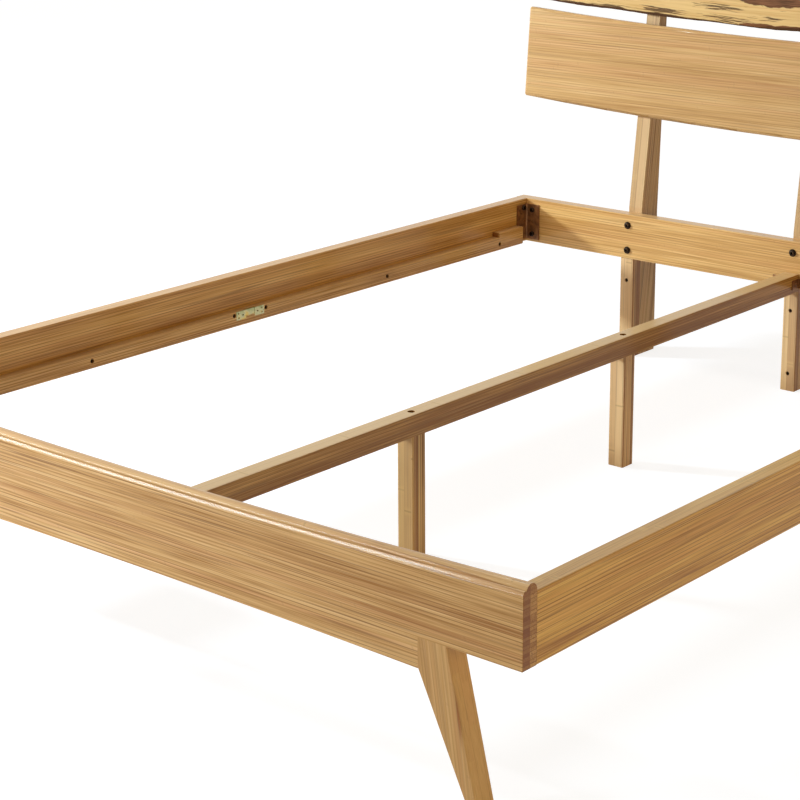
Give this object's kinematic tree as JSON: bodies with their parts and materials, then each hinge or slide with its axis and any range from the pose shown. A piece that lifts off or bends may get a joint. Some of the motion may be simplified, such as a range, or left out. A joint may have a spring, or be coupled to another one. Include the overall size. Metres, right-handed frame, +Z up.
{
  "type": "platform bed frame",
  "caption": "Low platform bed frame of laminated bamboo boards with splayed foot legs, a centre beam on square legs and a raked two-panel headboard.",
  "frame": {"origin": "on the floor, at the middle of the bed's overall box", "axes": "+X across the bed to the right of someone at the foot who looks at the head, +Y from the foot to the head, +Z up"},
  "size_m": [1.636, 2.2018, 0.9719],
  "materials": {
    "bamboo": "satin lacquer",
    "live_edge_wood": "satin lacquer",
    "bronzed_steel": "satin",
    "black_steel": "satin",
    "zinc_steel": "satin"
  },
  "bodies": {
    "root": {"foot_panel": "bamboo", "foot_leg_tenons": "bamboo", "head_rail": "bamboo", "headboard_lower_panel": "bamboo", "center_beam": "bamboo", "center_leg_front": "bamboo", "center_leg_rear": "bamboo", "foot_leg_left": "bamboo", "side_rail_left": "bamboo", "slat_cleat_left": "bamboo", "slat_stops_left": "bamboo", "foot_leg_right": "bamboo", "side_rail_right": "bamboo", "slat_cleat_right": "bamboo", "slat_stops_right": "bamboo", "headboard_post_left": "bamboo", "post_shoulder_left": "bamboo", "headboard_post_center": "bamboo", "post_shoulder_center": "bamboo", "headboard_post_right": "bamboo", "post_shoulder_right": "bamboo", "headboard_upper_panel": "live_edge_wood", "corner_bracket_head_left": "bronzed_steel", "corner_bracket_head_right": "bronzed_steel", "corner_bracket_foot_left": "bronzed_steel", "corner_bracket_foot_right": "bronzed_steel", "beam_brackets_head": "bronzed_steel", "beam_brackets_foot": "bronzed_steel", "corner_bolts": "black_steel", "head_rail_bolts": "black_steel", "beam_bolts": "black_steel", "beam_bracket_screws": "black_steel", "ledge_plate_left": "zinc_steel", "ledge_plate_right": "zinc_steel", "head_rail_washers": "zinc_steel", "cleat_screws_left": "zinc_steel", "cleat_screws_right": "zinc_steel", "shoulder_screws": "zinc_steel", "panel_screws": "zinc_steel"}
  },
  "joints": []
}
